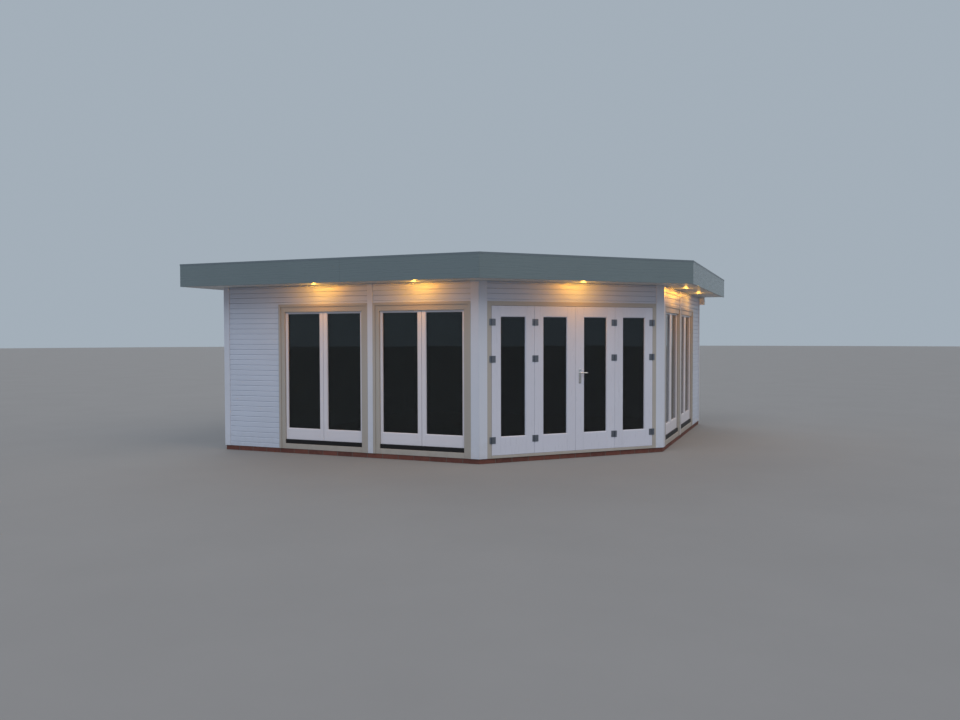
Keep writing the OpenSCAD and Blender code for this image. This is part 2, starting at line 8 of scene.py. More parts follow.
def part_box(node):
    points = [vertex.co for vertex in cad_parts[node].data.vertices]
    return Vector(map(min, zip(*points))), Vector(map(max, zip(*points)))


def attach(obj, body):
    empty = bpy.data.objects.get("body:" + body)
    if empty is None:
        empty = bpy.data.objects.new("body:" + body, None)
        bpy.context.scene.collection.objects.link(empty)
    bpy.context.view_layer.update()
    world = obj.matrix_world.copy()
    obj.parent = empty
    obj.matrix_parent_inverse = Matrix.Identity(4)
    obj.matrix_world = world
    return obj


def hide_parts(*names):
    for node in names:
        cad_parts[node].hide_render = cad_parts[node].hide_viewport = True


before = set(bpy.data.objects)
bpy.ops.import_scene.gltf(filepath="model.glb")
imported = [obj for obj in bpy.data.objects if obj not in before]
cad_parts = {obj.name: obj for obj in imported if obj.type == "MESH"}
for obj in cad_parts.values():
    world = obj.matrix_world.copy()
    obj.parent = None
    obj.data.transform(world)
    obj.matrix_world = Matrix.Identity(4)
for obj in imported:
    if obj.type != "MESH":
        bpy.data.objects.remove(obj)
scene = bpy.context.scene
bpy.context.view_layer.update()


# Brick course. One course of dark red clay bricks in cement mortar, laid on the ground
# all round the pod. The front and back rows run through at the square corners, and
# the bricks at the two blunt corners of the door wall are cut to a mitre.
left_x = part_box("left_cladding")[0].x
right_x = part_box("right_cladding")[1].x
front_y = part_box("front_cladding")[0].y
back_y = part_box("back_cladding")[1].y
corner_cut = 1.873
door_run = corner_cut * sqrt(2)
mitre_slope = tan(radians(22.5))
walls = {
    "front": (left_x, front_y, 0, right_x - left_x - corner_cut),
    "door": (right_x - corner_cut, front_y, 45, door_run),
    "right": (right_x, front_y + corner_cut, 90, back_y - front_y - corner_cut),
    "back": (right_x, back_y, 180, right_x - left_x),
    "left": (left_x, back_y, 270, back_y - front_y),
}


def stand_on(wall, along=0):
    """X runs along the wall from its left end, seen from outside, and Y into the room."""
    x, y, turn, _ = walls[wall]
    return (Matrix.Translation((x, y, 0)) @ Matrix.Rotation(radians(turn), 4, "Z")
        @ Matrix.Translation((along, 0, 0)))


def on_plan(wall, points):
    """Points given along the wall and into the room, put on the pod's plan."""
    place = stand_on(wall)
    return [(place @ Vector((s, d, 0))).to_2d() for s, d in points]


def add_length(shape, near, far, tone=0.5):
    """A solid between two matching rings of points; tone is its shade among its neighbours."""
    shade = shape.faces.layers.float.get("tone") or shape.faces.layers.float.new("tone")
    ends = [[shape.verts.new(point) for point in ring] for ring in (near, far)]
    faces = [shape.faces.new(ends[0]), shape.faces.new(ends[1][::-1])]
    for i in range(len(near)):
        j = (i + 1) % len(near)
        faces.append(shape.faces.new((ends[0][j], ends[0][i], ends[1][i], ends[1][j])))
    for face in faces:
        face[shade] = tone
    bmesh.ops.recalc_face_normals(shape, faces=faces)


def add_prism(shape, plan, z0, z1, tone=0.5):
    add_length(shape, [(x, y, z0) for x, y in plan], [(x, y, z1) for x, y in plan], tone)


sharp_turn, smallest_edge = 0.52, 0.000005


def ease_edges(shape, width, steps=2):
    """Takes the sharp arris off wherever two faces meet at more than about 30 degrees."""
    edges = [e for e in shape.edges if len(e.link_faces) == 2 and e.calc_face_angle(0) > sharp_turn]
    bmesh.ops.bevel(shape, geom=edges, offset=width, segments=steps, profile=0.5, affect="EDGES",
        clamp_overlap=True)
    bmesh.ops.dissolve_degenerate(shape, dist=smallest_edge, edges=shape.edges)


def as_mesh(name, shape):
    mesh = bpy.data.meshes.new(name)
    shape.to_mesh(mesh)
    shape.free()
    return mesh


def add_object(name, data):
    made = bpy.data.objects.new(name, data)
    scene.collection.objects.link(made)
    return made


def fit_piece(name, shape, finish, stands_for=(), place=Matrix(), rounded=False):
    """Makes the finished piece where it belongs on the pod."""
    mesh = as_mesh(name, shape)
    mesh.transform(place)
    mesh.materials.append(finish)
    if rounded:
        for face in mesh.polygons:
            face.use_smooth = True
        mesh.set_sharp_from_angle(angle=radians(35))
    piece = add_object(name, mesh)
    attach(piece, "root")
    if stands_for:
        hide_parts(*stands_for)


def is_output(value):
    return isinstance(value, bpy.types.NodeSocket)


def node(owner, kind, sockets=(), **settings):
    """A new shader node in its owner's tree; a socket gets a constant or a node's output."""
    tree = owner.id_data
    made = tree.nodes.new("ShaderNode" + kind)
    for key, value in settings.items():
        setattr(made, key, value)
    for key, value in dict(sockets).items():
        if is_output(value):
            tree.links.new(value, made.inputs[key])
        else:
            made.inputs[key].default_value = value
    return made


def new_finish(name, roughness, **constants):
    """An empty finish, its surface shader and the place on the object."""
    finish = bpy.data.materials.new(name)
    finish.use_nodes = True
    surface = finish.node_tree.nodes["Principled BSDF"]
    surface.inputs["Roughness"].default_value = roughness
    for key, value in constants.items():
        surface.inputs[key.replace("_", " ")].default_value = value
    return finish, surface, node(surface, "TexCoord").outputs["Object"]


def scaled(place, *scale):
    return node(place, "Mapping", {"Vector": place, "Scale": scale}).outputs["Vector"]


def noise(place, scale, detail, rough):
    return node(place, "TexNoise", {"Vector": place, "Scale": scale, "Detail": detail,
        "Roughness": rough}).outputs["Fac"]


def spread(value, low, high, out_low=0.0, out_high=1.0):
    """Stretches the part of a value between low and high over a new span."""
    return node(value, "MapRange", {"Value": value, "From Min": low, "From Max": high,
        "To Min": out_low, "To Max": out_high}).outputs["Result"]


def maths(operation, a, b):
    return node(a if is_output(a) else b, "Math", {0: a, 1: b}, operation=operation).outputs[0]


def darker(colour, share):
    return tuple(part * share for part in colour)


def blend_colours(amount, first, second):
    """Goes from the first colour to the second; each is a constant or a node's output."""
    ends = [end if is_output(end) else (*end, 1) for end in (first, second)]
    return node(amount, "Mix", {0: amount, 6: ends[0], 7: ends[1]}, data_type="RGBA").outputs[2]


def lay_on(surface, colour, height, relief, strength=1.0, gloss=None):
    """Gives a surface its colour and its relief in metres, and its roughness where that varies."""
    bump = node(surface, "Bump", {"Height": height, "Distance": relief, "Strength": strength})
    for key, value in (("Base Color", colour), ("Normal", bump.outputs["Normal"]), ("Roughness", gloss)):
        if value:
            surface.id_data.links.new(value, surface.inputs[key])


def flecked(name, roughness, first, second, grain, relief, stretch=None, pits=None, strength=1.0,
        **constants):
    """Two close colours mixed by a noise; pits is the noise of the relief, where it has its own."""
    finish, surface, place = new_finish(name, roughness, **constants)
    fleck = noise(scaled(place, *stretch) if stretch else place, *grain)
    height = noise(place, *pits) if pits else fleck
    lay_on(surface, blend_colours(fleck, first, second), height, relief, strength)
    return finish


clay_brick, surface, place = new_finish("dark_red_brick", 0.86)
tone = node(place, "Attribute", attribute_name="tone").outputs["Fac"]
blotch = spread(noise(place, 14, 6, 0.65), 0.46, 0.8, 0.0, 0.6)
speck = spread(noise(place, 240, 2, 0.5), 0.6, 0.72)
body = blend_colours(tone, (0.145, 0.047, 0.034), (0.090, 0.031, 0.024))
body = blend_colours(blotch, body, (0.19, 0.08, 0.058))
body = blend_colours(speck, body, (0.05, 0.028, 0.026))
lay_on(surface, body, noise(place, 320, 6, 0.7), 0.0012)

plinth_top, brick_front, brick_back = 0.060, 0.005, 0.107
brick_module, mortar_joint, brick_low = 0.225, 0.010, 0.0005
mortar_in, mortar_low, mortar_short = 0.004, 0.003, 0.002
chance = random.Random(11)
bricks, mortar = bmesh.new(), bmesh.new()
for wall, (*_, run) in walls.items():
    blunt = (wall in ("door", "right"), wall in ("front", "door"))
    first = brick_front * (mitre_slope if blunt[0] else 1)
    last = run - brick_front * (mitre_slope if blunt[1] else 1)
    if wall == "left":
        first, last = brick_back + mortar_joint, run - brick_back - mortar_joint
    if wall == "right":
        last = run - brick_back - mortar_joint
    count = round((last - first + mortar_joint) / brick_module)
    module = (last - first + mortar_joint) / count
    mitre = (brick_back - brick_front) * mitre_slope
    for i in range(count):
        s0, s1 = first + i * module, first + (i + 1) * module - mortar_joint
        in0 = mitre if i == 0 and blunt[0] else 0
        in1 = mitre if i == count - 1 and blunt[1] else 0
        face = brick_front + chance.uniform(0, 0.0012)
        plan = [(s0, face), (s1, face), (s1 - in1, brick_back), (s0 + in0, brick_back)]
        add_prism(bricks, on_plan(wall, plan), 0.0, plinth_top - brick_low, chance.random())
    ends = [first + mortar_short, last - mortar_short, last - (mitre if blunt[1] else mortar_in),
        first + (mitre if blunt[0] else mortar_in)]
    if wall == "left":
        ends = [brick_back, run - brick_back, run - brick_back, brick_back]
    if wall == "right":
        ends[1:3] = [run - brick_back] * 2
    depths = [brick_front + mortar_in] * 2 + [brick_back - mortar_short] * 2
    add_prism(mortar, on_plan(wall, zip(ends, depths)), 0.0, plinth_top - mortar_low)
ease_edges(bricks, 0.0022)
grey_mortar = flecked("cement_mortar", 0.95, (0.085, 0.065, 0.056), (0.155, 0.125, 0.108),
    (260, 5, 0.7), 0.0012)
fit_piece("brick_course", bricks, clay_brick, ["plinth"])
fit_piece("brick_mortar", mortar, grey_mortar)


# Floor. An insulated timber base sits inside the brick course; oak-coloured boards
# 130 mm wide run from front to back over it, laid with staggered end joints.
def staggered(place, colours, long, wide, joint, soft, stagger):
    """Boards in rows with staggered ends; the colours are two of the boards and the joint's."""
    first, second, gap = [(*colour, 1) for colour in colours]
    return node(place, "TexBrick", {"Vector": place, "Color1": first, "Color2": second, "Mortar": gap,
        "Scale": 1.0, "Mortar Size": joint, "Mortar Smooth": soft, "Bias": 0.0, "Brick Width": long,
        "Row Height": wide}, offset=stagger, offset_frequency=2).outputs


def dress(finish, record_slot, *nodes):
    """Gives CAD pieces whose shape is right their finish."""
    for name in nodes:
        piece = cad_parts[name]
        piece.data.materials.clear()
        piece.data.materials.append(finish)
        for face in piece.data.polygons:
            face.material_index = 0


oak_boards, surface, place = new_finish("oak_floor_boards", 0.38)
laid = node(place, "Mapping", {"Vector": place, "Rotation": (0, 0, pi / 2)}).outputs["Vector"]
oak = ((0.30, 0.19, 0.11), (0.38, 0.255, 0.155), (0.045, 0.028, 0.018))
boards = staggered(laid, oak, 1.9, 0.13, 0.0012, 0.3, 0.37)
grain = noise(scaled(place, 60, 3.5, 60), 1.0, 7, 0.6)
colour = blend_colours(spread(grain, 0.35, 0.7, 0.0, 0.55), boards["Color"], (0.17, 0.10, 0.055))
height = maths("SUBTRACT", maths("MULTIPLY", grain, 0.15), boards["Fac"])
lay_on(surface, colour, height, 0.0015)

dress(oak_boards, "floor_boards", "floor")


# Walls. Insulated softwood frames 120 mm thick stand on the bricks, with solid posts
# at the two blunt corners, and are lined inside with painted board.
painted_lining = flecked("painted_lining", 0.62, (0.60, 0.585, 0.55), (0.66, 0.645, 0.61),
    (1.3, 4, 0.5), 0.0004, pits=(420, 3, 0.6))
dress(painted_lining, "wall_lining", "front_wall", "door_wall", "right_wall", "back_wall", "left_wall",
    "corner_posts")


# Cladding. Painted softwood boards, each showing 69 mm, are nailed level to the frame;
# each board's rebated lower lip laps over the scooped top edge of the board below. The
# lowest board is cut down and the ones over the windows show a little less.
def painted_timber(name, colour, streaks, roughness=0.4, soiled=True):
    """Brushed paint on planed timber; streaks says how the brush marks run, in x, y, z."""
    finish, surface, place = new_finish(name, roughness)
    tone = node(place, "Attribute", attribute_name="tone").outputs["Fac"]
    shaded = darker(colour, 0.9)
    cloud = noise(place, 2.2, 5, 0.55)
    paint = blend_colours(spread(cloud, 0.38, 0.78, 0.0, 0.55), colour, shaded)
    paint = blend_colours(maths("MULTIPLY", tone, 0.35), paint, shaded)
    brushed = noise(scaled(place, *streaks), 1.0, 5, 0.6)
    paint = blend_colours(spread(brushed, 0.55, 0.8, 0.0, 0.16), paint, shaded)
    if soiled:
        height = node(place, "SeparateXYZ", {"Vector": place}).outputs["Z"]
        splash = maths("MULTIPLY", spread(height, 0.34, 0.06),
            spread(noise(place, 9, 7, 0.7), 0.38, 0.72))
        earth = tuple(c * t for c, t in zip(colour, (0.55, 0.50, 0.43)))
        paint = blend_colours(maths("MULTIPLY", splash, 0.30), paint, earth)
    gloss = spread(brushed, 0.3, 0.8, roughness - 0.05, roughness + 0.09)
    lay_on(surface, paint, brushed, 0.0006, gloss=gloss)
    return finish


soffit_under, window_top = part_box("soffit")[0].z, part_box("window_frame_1")[1].z
full_rows, first_foot, board_shows = 28, 0.1195, 0.0692
board_feet = [plinth_top, *(first_foot + board_shows * row for row in range(full_rows)), 2.056, 2.118,
    2.180, soffit_under]
head_row = board_feet[full_rows]
board_t, board_lap, lip_t, lip_h, sliver = 0.0185, 0.003, 0.0078, 0.0035, 0.002
hairline, cut_end, board_clear = 0.0002, 0.0006, 0.0005


def lay_boards(shape, s0, s1, z0, z1, breaks=()):
    """Boards from s0 to s1 wherever they show between z0 and z1; breaks are end joints."""
    for row, (foot, top) in enumerate(zip(board_feet, board_feet[1:])):
        if top <= z0 + sliver or foot >= z1 - sliver:
            continue
        profile = [(lip_t, foot + lip_h), (lip_t, foot), (0.0015, foot), (0.0003, foot + 0.0004),
            (0.0, foot + 0.0017), (0.0, top - 0.0125), (0.0015, top - 0.0088), (0.0042, top - 0.0052),
            (0.0068, top - 0.002), (0.0076, top + board_lap), (board_t, top + board_lap),
            (board_t, foot + lip_h)]
        low, high = z0 + board_clear, z1 - board_clear
        profile = [(d, min(max(z, low), high)) for d, z in profile]
        tidy = [p for i, p in enumerate(profile) if p != profile[i - 1]]
        cuts = [s0] + ([breaks[row % len(breaks)]] if breaks else []) + [s1]
        for a, b in zip(cuts, cuts[1:]):
            a, b = a + (cut_end if a != s0 else 0), b - (cut_end if b != s1 else 0)
            add_length(shape, [(a, d, z) for d, z in tidy], [(b, d, z) for d, z in tidy],
                chance.random())


plain_board, side_board, post_w, window_w = 0.080, 0.104, 0.076, 1.334
door_w, door_off_middle = 2.422, 0.008
door_left = (door_run - door_w) / 2 - door_off_middle
door_right = door_run - door_w - door_left
front_run, long_run = walls["front"][3], walls["back"][3]
window_lefts = {
    "front": [front_run - side_board - 2 * window_w - post_w, front_run - side_board - window_w],
    "right": [side_board, side_board + window_w + post_w]}
end_joints = (1.9, 3.7, 2.5, 3.1, 4.2)
# The blue-grey cast of this white paint is painted light: the blue of the evening sky is mixed into its
# colour.
cladding_paint_with_dusk_blue = painted_timber("white_cladding_paint_with_painted_dusk_blue", (0.515, 0.57, 0.675), (3, 3, 90))

for wall in walls:
    boards = bmesh.new()
    if wall in ("back", "left"):
        lay_boards(boards, plain_board, long_run - plain_board, plinth_top, soffit_under, end_joints)
    elif wall == "door":
        lay_boards(boards, door_left, door_run - door_right, window_top, soffit_under)
    else:
        near, far = window_lefts[wall] if wall == "front" else reversed(window_lefts[wall])
        start, end = plain_board, near - hairline
        if wall == "right":
            start, end = near + window_w + hairline, front_run - plain_board
        lay_boards(boards, start, end, plinth_top, head_row)
        lay_boards(boards, near + hairline, near + window_w - hairline, window_top, head_row)
        lay_boards(boards, min(start, near), max(end, near + window_w), head_row, soffit_under)
        lay_boards(boards, far, far + window_w, window_top, soffit_under)
    fit_piece(wall + "_boards", boards, cladding_paint_with_dusk_blue, [wall + "_cladding"],
        stand_on(wall))


# Corner boards and cover strips. Planed and painted boards stand over the ends of the
# cladding, mitred down the corners, with a strip over the post between two windows.
def corner_at(number, out, rear=None):
    """A corner of the plan moved outwards, from the front left one on round the pod."""
    rear = out if rear is None else rear
    corners = [(left_x - out, front_y - out), (right_x - corner_cut + out * mitre_slope, front_y - out),
        (right_x + out, front_y + corner_cut - out * mitre_slope), (right_x + out, back_y + rear),
        (left_x - out, back_y + rear)]
    return Vector(corners[number % 5])


def oblong(a0, a1, b0, b1):
    return [(a0, b0), (a1, b0), (a1, b1), (a0, b1)]


def step_along(wall):
    """A hairline along the wall, which keeps the two ends at a mitre apart."""
    return (stand_on(wall).to_3x3() @ Vector((hairline, 0, 0))).to_2d()


# The blue-grey cast of this white paint is painted light: the blue of the evening sky is mixed into its
# colour.
board_paint_with_dusk_blue = painted_timber("white_board_paint_with_painted_dusk_blue", (0.56, 0.60, 0.685), (70, 70, 2.5), 0.36)
proud, cladding_t, strip_gap, board_top = 0.008, 0.020, 0.0004, soffit_under - hairline
board_widths = {"front": (plain_board, side_board), "door": (door_left, door_right),
    "right": (side_board, plain_board), "back": (plain_board,) * 2, "left": (plain_board,) * 2}
corners = bmesh.new()
for i, wall in enumerate(walls):
    nick, start, end = step_along(wall), board_widths[wall][0], walls[wall][3] - board_widths[wall][1]
    plan = [corner_at(i, proud) + nick, *on_plan(wall, [(start, -proud), (start, cladding_t)]),
        corner_at(i, -cladding_t) + nick]
    add_prism(corners, plan, plinth_top, board_top, chance.random())
    outer, inner = on_plan(wall, [(end, -proud), (end, cladding_t)])
    plan = [outer, corner_at(i + 1, proud) - nick, corner_at(i + 1, -cladding_t) - nick, inner]
    add_prism(corners, plan, plinth_top, board_top, chance.random())
ease_edges(corners, 0.0016)
fit_piece("corner_board_set", corners, board_paint_with_dusk_blue, ["corner_boards"])

strips = bmesh.new()
for wall in ("front", "right"):
    left = window_lefts[wall][0] + window_w + strip_gap
    right = window_lefts[wall][0] + window_w + post_w - strip_gap
    plan = oblong(left, right, -proud, cladding_t)
    add_prism(strips, on_plan(wall, plan), plinth_top, board_top, 0.4)
ease_edges(strips, 0.0025, 3)
fit_piece("window_cover_strips", strips, board_paint_with_dusk_blue, ["cover_strips"])


# Windows. Stone-grey hardwood frames: jambs and head are mitred, with a raised band
# round the outside and a fine groove beside it, and a sill is housed between the jambs.
def mitred_frame(shape, profile, width, foot, head, head_extra, band):
    """Two jambs and a head; the profile is (distance in from the outer edge, depth). Inside
    its outer band the head is deeper than a jamb is wide, by head_extra."""
    widening = 0.03

    def drop(t):
        return t + head_extra * min(max((t - band) / widening, 0), 1)
    for place_s in (lambda t: t, lambda t: width - t):
        add_length(shape, [(place_s(t), d, foot) for t, d in profile],
            [(place_s(t), d, head - drop(t) - hairline) for t, d in profile], chance.random())
    add_length(shape, [(t + hairline, d, head - drop(t)) for t, d in profile],
        [(width - t - hairline, d, head - drop(t)) for t, d in profile], chance.random())


def add_run(shape, profile, s0, s1, tone=0.5):
    """A profile of (depth, height) run level along the wall."""
    add_length(shape, [(s0, d, z) for d, z in profile], [(s1, d, z) for d, z in profile], tone)


stone_grey = painted_timber("stone_grey_frame_paint", (0.385, 0.365, 0.335), (60, 60, 6), 0.38)
sill_top, sill_fall, sash_foot, sash_front, fit_gap = 0.127, 0.003, 0.182, 0.024, 0.0003
jamb_face, behind_jamb, frame_depth, bar_in = 0.092, 0.066, 0.110, 0.006
band_w, band_proud, groove_end, groove_in, chamfer = 0.034, 0.010, 0.037, 0.0025, 0.0035
before_sash, behind_sash_front = sash_front - hairline, sash_front + hairline
window_section = [(0.0, frame_depth), (0.0, -band_proud), (band_w, -band_proud), (band_w, groove_in),
    (groove_end, groove_in), (groove_end, 0.0), (jamb_face - chamfer, 0.0), (jamb_face, chamfer),
    (jamb_face, sash_front), (behind_jamb, sash_front), (behind_jamb, frame_depth)]
sill_nose = [(0.0, plinth_top), (before_sash, plinth_top), (before_sash, sill_top), (bar_in, sill_top),
    (0.0, sill_top - sill_fall)]
window_places = [(wall, left) for wall in ("front", "right") for left in window_lefts[wall]]
for n, (wall, left) in enumerate(window_places, 1):
    timber = bmesh.new()
    mitred_frame(timber, window_section, window_w, plinth_top, window_top, 0.011, band_w)
    add_run(timber, sill_nose, jamb_face + fit_gap, window_w - jamb_face - fit_gap, chance.random())
    add_run(timber, oblong(behind_sash_front, frame_depth, plinth_top, sill_top), behind_jamb + fit_gap,
        window_w - behind_jamb - fit_gap, chance.random())
    ease_edges(timber, 0.0012)
    fit_piece("grey_window_frame_%d" % n, timber, stone_grey, ["window_frame_%d" % n],
        stand_on(wall, left))


# Weather bars. A black coated bar lies on each sill, between the jambs and on behind
# them under the sashes, with two fine grooves along its face.
def join_placed(whole, part, place):
    """Adds a part to the whole at its place on the pod."""
    bmesh.ops.transform(part, matrix=place, verts=part.verts)
    moved = as_mesh("part", part)
    whole.from_mesh(moved)
    bpy.data.meshes.remove(moved)


black_coat = flecked("black_coated_bar", 0.55, (0.006, 0.006, 0.007), (0.016, 0.016, 0.018),
    (1.0, 5, 0.6), 0.0004, stretch=(20, 20, 120), Specular_IOR_Level=0.25)
bar_back, bar_groove = 0.080, 0.001
bar_face = [(bar_in, sill_top)]
for z in (0.140, 0.168):
    bar_face += [(bar_in, z - bar_groove), (bar_in + 0.0012, z), (bar_in, z + bar_groove)]
bar_face += [(bar_in, sash_foot), (before_sash, sash_foot), (before_sash, sill_top)]
bars = bmesh.new()
for wall, left in window_places:
    bar = bmesh.new()
    add_run(bar, bar_face, jamb_face + hairline, window_w - jamb_face - hairline)
    add_run(bar, oblong(behind_sash_front, bar_back, sill_top, sash_foot), behind_jamb + fit_gap,
        window_w - behind_jamb - fit_gap)
    ease_edges(bar, 0.0008, 1)
    join_placed(bars, bar, stand_on(wall, left))
fit_piece("black_weather_bars", bars, black_coat, ["weather_bars"])


# Sashes. Two white sashes fill each window. The stiles run through and the rails are
# tenoned between them; mitred beads hold the glass from both sides.
bead_w, glass_lap, unit_t = 0.012, 0.010, 0.024


def add_block(shape, s0, s1, d0, d1, z0, z1, tone=0.5):
    add_prism(shape, oblong(s0, s1, d0, d1), z0, z1, tone)


def bead_round(shape, profile, sides):
    """Four mitred lengths round a pane; the profile is (distance out from it, depth)."""
    a, b, low, high = sides
    spots = [(a, low, -1, -1), (b, low, 1, -1), (b, high, 1, 1), (a, high, -1, 1)]
    for i, (on_s, on_z) in enumerate(((1, 0), (0, 1), (-1, 0), (0, -1))):
        ends = []
        for (s, z, way_s, way_z), off in ((spots[i], hairline / 2), (spots[(i + 1) % 4], -hairline / 2)):
            ends.append([(s + way_s * u + on_s * off, d, z + way_z * u + on_z * off)
                for u, d in profile])
        add_length(shape, *ends, chance.random())


def glazed_leaf(timber, beads, left, width, foot, top, front, thick, stile, rails, glass_in,
        plans=(None, None)):
    """Stiles, rails and beads; a stile with a plan of its own is given it. Returns the sides
    of the opening for the pane: left, right, low and high."""
    back = front + thick
    sides = (left + stile, left + width - stile, foot + rails[0], top - rails[1])
    inner = (sides[0] - bead_w, sides[1] + bead_w)
    for own_plan, near, far in ((plans[0], left, inner[0]), (plans[1], inner[1], left + width)):
        plan = own_plan or oblong(near, far, front, back)
        add_prism(timber, plan, foot, top, chance.random())
    for low, high in ((foot, sides[2] - bead_w), (sides[3] + bead_w, top)):
        add_block(timber, inner[0] + hairline, inner[1] - hairline, front, back, low, high,
            chance.random())
    glass_front, glass_back = front + glass_in, front + glass_in + unit_t
    bead_round(beads, [(bead_w, front), (0.009, front), (0.0055, front + 0.0015),
        (0.0018, front + 0.005), (0.0, front + 0.009), (0.0, glass_front), (bead_w, glass_front)],
        sides)
    bead_round(beads, [(bead_w, glass_back), (0.0, glass_back), (0.0, back - 0.003), (0.003, back),
        (bead_w, back)], sides)
    return sides


sash_paint = painted_timber("white_sash_paint", (0.65, 0.65, 0.71), (50, 50, 4), 0.33, soiled=False)
sash_w, sash_t, sash_top, sash_pitch = 0.599, 0.056, 1.880, 0.603
sash_stile, sash_rails, sash_glass_in = 0.058, (0.149, 0.050), 0.022
window_panes = []
for n, (wall, left) in enumerate(window_places, 1):
    timber, beads, place = bmesh.new(), bmesh.new(), stand_on(wall, left)
    for k in (0, 1):
        sides = glazed_leaf(timber, beads, behind_jamb + k * sash_pitch, sash_w, sash_foot, sash_top,
            sash_front, sash_t, sash_stile, sash_rails, sash_glass_in)
        window_panes.append((place, sides, sash_front + sash_glass_in))
    ease_edges(timber, 0.0013)
    ease_edges(beads, 0.0004, 1)
    fit_piece("white_sashes_%d" % n, timber, sash_paint, ["window_sashes_%d" % n], place)
    fit_piece("sash_glazing_beads_%d" % n, beads, sash_paint, (), place)


# Glass. Each pane is a sealed unit: two sheets 4 mm thick with a black spacer round the
# edge between them. Its grey tint is painted shade, which stands in for the unlit room behind.
def room_shade_glass(name, tint):
    # The tint is painted shade: it darkens the glass in place of the unlit room behind it.
    finish, surface, place = new_finish(name, 0.015, Transmission_Weight=1.0, IOR=1.42)
    haze = noise(scaled(place, 1.2, 1.2, 0.8), 1.0, 3, 0.5)
    colour = blend_colours(haze, darker(tint, 0.88), tint)
    lay_on(surface, colour, noise(place, 0.9, 2, 0.4), 0.003, 0.2)
    return finish


black_spacer = flecked("black_glass_spacer", 0.6, (0.012, 0.012, 0.012), (0.028, 0.028, 0.03),
    (180, 3, 0.5), 0.0003)
pane_t, spacer_w, seal = 0.004, 0.008, 0.0001


def seal_units(panes, name, tint):
    """Two sheets and the spacer between them for each pane."""
    sheets, spacers = bmesh.new(), bmesh.new()
    for place, (a, b, low, high), front in panes:
        sheet, spacer = bmesh.new(), bmesh.new()
        for face in (front, front + unit_t - pane_t):
            add_block(sheet, a - glass_lap, b + glass_lap, face, face + pane_t, low - glass_lap,
                high + glass_lap)
        join_placed(sheets, sheet, place)
        near, far = front + pane_t + seal, front + unit_t - pane_t - seal
        bead_round(spacer, oblong(0.0, spacer_w, near, far), (a, b, low, high))
        join_placed(spacers, spacer, place)
    fit_piece(name + "_sheets", sheets, room_shade_glass("shade_tinted_" + name, tint), [name])
    fit_piece(name + "_spacers", spacers, black_spacer)


seal_units(window_panes, "window_glass", (0.41, 0.47, 0.48))


# Door frame and threshold. The same stone-grey timber, set flush with the corner boards
# and mitred at the head, with a stop behind that the leaves close against.
leaf_w, leaf_pitch, leaf_front, leaf_back = 0.575, 0.577, -0.008, 0.046
leaf_foot, leaf_top, door_jamb, stop_edge, door_depth = 0.096, 1.903, 0.056, 0.071, 0.100
threshold_top, stop_top = 0.094, 0.111
first_leaf = door_left + 0.058
door_section = [(0.0, door_depth), (0.0, leaf_front), (0.053, leaf_front),
    (door_jamb, leaf_front + 0.003), (door_jamb, leaf_back), (stop_edge, leaf_back),
    (stop_edge, door_depth)]
timber = bmesh.new()
mitred_frame(timber, door_section, door_w, plinth_top, window_top, -0.004, 0.02)
ease_edges(timber, 0.0013)
fit_piece("grey_door_frame", timber, stone_grey, ["door_frame"],
    stand_on("door", door_left))

step, step_back = bmesh.new(), leaf_back - fit_gap
add_run(step, [(leaf_front, plinth_top), (leaf_front, threshold_top - chamfer),
    (leaf_front + chamfer, threshold_top), (step_back, threshold_top), (step_back, plinth_top)],
    door_jamb + hairline, door_w - door_jamb - hairline, 0.3)
add_run(step, oblong(leaf_back + fit_gap, door_depth, plinth_top, stop_top), stop_edge + hairline,
    door_w - stop_edge - hairline, 0.6)
ease_edges(step, 0.0013)
fit_piece("grey_threshold", step, stone_grey, ["door_threshold"],
    stand_on("door", door_left))


# Folding door. Four white timber leaves, each with one tall pane, fold outwards in two
# pairs. Stiles and rails are tenoned together; the two middle leaves meet on a rebate.
# The blue-grey cast of this white paint is painted light: the blue of the evening sky is mixed into its
# colour.
door_paint_with_dusk_blue = painted_timber("white_door_paint_with_painted_dusk_blue", (0.57, 0.595, 0.69), (45, 45, 5), 0.30, soiled=False)
leaf_stile, leaf_rails, leaf_glass_in = 0.125, (0.224, 0.135), 0.020
rebate, rebate_over, rebate_under = 0.012, 0.019, 0.021
on_door = stand_on("door")


def meeting_stile(inner, edge, depth):
    """The plan of a stile with a rebate from this depth to its back."""
    return [(inner, leaf_front), (edge, leaf_front), (edge, depth), (edge - rebate, depth),
        (edge - rebate, leaf_back), (inner, leaf_back)]


door_panes = []
for n in range(1, 5):
    left = first_leaf + (n - 1) * leaf_pitch
    right = left + leaf_w
    plans = (meeting_stile(left + leaf_stile - bead_w, left, rebate_under) if n == 3 else None,
        meeting_stile(right - leaf_stile + bead_w, right, rebate_over) if n == 2 else None)
    timber, beads = bmesh.new(), bmesh.new()
    sides = glazed_leaf(timber, beads, left, leaf_w, leaf_foot, leaf_top, leaf_front,
        leaf_back - leaf_front, leaf_stile, leaf_rails, leaf_glass_in, plans)
    door_panes.append((on_door, sides, leaf_front + leaf_glass_in))
    ease_edges(timber, 0.0015)
    ease_edges(beads, 0.0004, 1)
    fit_piece("white_door_leaf_%d" % n, timber, door_paint_with_dusk_blue, ["door_leaf_%d" % n], on_door)
    fit_piece("door_glazing_beads_%d" % n, beads, door_paint_with_dusk_blue, (), on_door)
# The door glass has a darker tint, which is painted shade for the unlit room behind.
seal_units(door_panes, "door_glass", (0.36, 0.42, 0.45))


# Hinges. Square steel hinges are screwed to the face of the leaves, three to a joint:
# two flaps with rounded corners, five knuckles on a pin, and countersunk screws.
def satin_steel(name, tint, roughness):
    finish, surface, place = new_finish(name, roughness, Metallic=1.0)
    brushed = noise(scaled(place, 30, 30, 900), 1.0, 4, 0.6)
    gloss = spread(brushed, 0.2, 0.8, roughness - 0.06, roughness + 0.08)
    lay_on(surface, blend_colours(brushed, darker(tint, 0.85), tint), brushed, 0.0002, gloss=gloss)
    return finish


